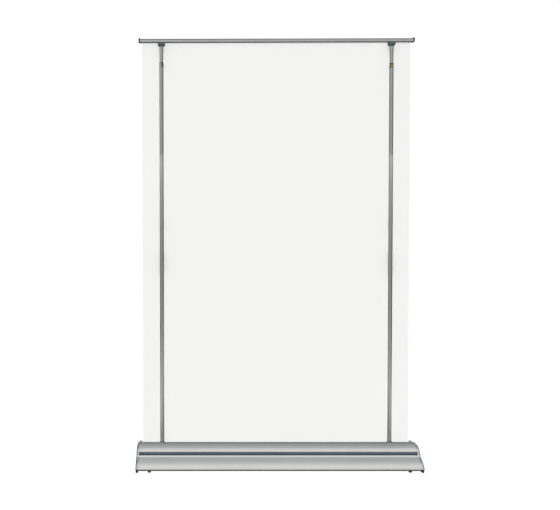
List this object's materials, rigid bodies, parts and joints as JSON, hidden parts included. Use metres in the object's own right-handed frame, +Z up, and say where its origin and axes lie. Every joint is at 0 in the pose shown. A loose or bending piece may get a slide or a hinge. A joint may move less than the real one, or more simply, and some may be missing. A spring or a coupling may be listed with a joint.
{
  "type": "roll-up banner stand",
  "caption": "Wide roll-up banner stand: a low cassette base with a long foot, telescopic poles at the back, a top rail and a blank pull-up graphic.",
  "frame": {"origin": "on the floor at the centre of the footprint", "axes": "+Z up, +X to the right as seen from the pole side, -Y towards the wide foot and +Y towards the side where the graphic hangs"},
  "size_m": [1.53, 0.29, 2.341],
  "materials": {
    "satin_aluminium": "satin anodised extrusion, drawn lengthwise",
    "tube_aluminium": "satin anodised drawn tube",
    "polished_aluminium": "polished casting",
    "steel": "zinc plated",
    "brass": "worn satin",
    "dark_plastic": "dark grey moulded nylon",
    "white_plastic": "white acetal",
    "black_rubber": "moulded rubber",
    "grey_felt": "felt strip",
    "white_film": "blank matt banner film"
  },
  "bodies": {
    "base": {"base_extrusion": "satin_aluminium", "dome_cover": "satin_aluminium", "idler_stub": "steel", "spring_spindle": "steel", "torsion_spring": "steel", "spring_anchor": "dark_plastic", "slot_felt": "grey_felt", "end_cap_left": "polished_aluminium", "slot_guide_left": "polished_aluminium", "end_cap_screw_left_front": "steel", "end_cap_screw_left_rear": "steel", "end_cap_screw_left_top": "steel", "pole_socket_left": "dark_plastic", "bearing_bush_left": "white_plastic", "round_foot_front_left": "black_rubber", "round_foot_rear_left": "black_rubber", "corner_pad_front_left": "black_rubber", "corner_pad_rear_left": "black_rubber", "end_cap_right": "polished_aluminium", "slot_guide_right": "polished_aluminium", "end_cap_screw_right_front": "steel", "end_cap_screw_right_rear": "steel", "end_cap_screw_right_top": "steel", "pole_socket_right": "dark_plastic", "bearing_bush_right": "white_plastic", "round_foot_front_right": "black_rubber", "round_foot_rear_right": "black_rubber", "corner_pad_front_right": "black_rubber", "corner_pad_rear_right": "black_rubber"},
    "roller": {"roller_tube": "tube_aluminium", "graphic_roll": "white_film", "roller_plug_left": "dark_plastic", "roller_plug_right": "dark_plastic"},
    "rail": {"top_rail": "satin_aluminium", "clamp_bar": "dark_plastic", "rail_cap_left": "dark_plastic", "rail_cap_right": "dark_plastic", "graphic_sheet": "white_film"},
    "pole_left": {"lower_tube_left": "tube_aluminium", "ferrule_left": "steel", "middle_tube_left": "tube_aluminium", "lock_bush_left": "dark_plastic"},
    "lock_left": {"lock_slide_left": "brass"},
    "upper_left": {"upper_tube_left": "tube_aluminium", "guide_shoe_left": "dark_plastic", "top_plug_left": "dark_plastic", "rail_bracket_left": "dark_plastic"},
    "pole_right": {"lower_tube_right": "tube_aluminium", "ferrule_right": "steel", "middle_tube_right": "tube_aluminium", "lock_bush_right": "dark_plastic"},
    "lock_right": {"lock_slide_right": "brass"},
    "upper_right": {"upper_tube_right": "tube_aluminium", "guide_shoe_right": "dark_plastic", "top_plug_right": "dark_plastic", "rail_bracket_right": "dark_plastic"}
  },
  "joints": [
    {"name": "rail_height", "type": "slide", "parent": "base", "child": "rail", "axis": [0, 0, 1], "range_m": [-0.08, 0.7], "deforming": ["graphic_sheet"]},
    {"name": "roller_turn", "type": "hinge", "parent": "base", "child": "roller", "pos_m": [0, 0.08731, 0.054], "axis": [1, 0, 0], "range_deg": [-1861, 217]},
    {"name": "upper_left_slide", "type": "slide", "parent": "base", "child": "upper_left", "axis": [0, 0, 1], "range_m": [-0.081, 0.701]},
    {"name": "pole_left_turn", "type": "hinge", "parent": "base", "child": "pole_left", "pos_m": [-0.631, 0.049, 0], "axis": [0, 0, 1], "continuous": true},
    {"name": "lock_left_press", "type": "slide", "parent": "pole_left", "child": "lock_left", "axis": [0, 0, -1], "range_m": [0, 0.003], "stiffness_N_per_m": 400, "springref_m": -0.002},
    {"name": "upper_right_slide", "type": "slide", "parent": "base", "child": "upper_right", "axis": [0, 0, 1], "range_m": [-0.081, 0.701]},
    {"name": "pole_right_turn", "type": "hinge", "parent": "base", "child": "pole_right", "pos_m": [0.631, 0.049, 0], "axis": [0, 0, 1], "continuous": true},
    {"name": "lock_right_press", "type": "slide", "parent": "pole_right", "child": "lock_right", "axis": [0, 0, -1], "range_m": [0, 0.003], "stiffness_N_per_m": 400, "springref_m": -0.002}
  ],
  "couplings": [
    {"joint": "upper_left_slide", "follows": "rail_height", "ratio": 1},
    {"joint": "upper_right_slide", "follows": "rail_height", "ratio": 1},
    {"joint": "roller_turn", "follows": "rail_height", "rad_per_m": -46.283}
  ]
}
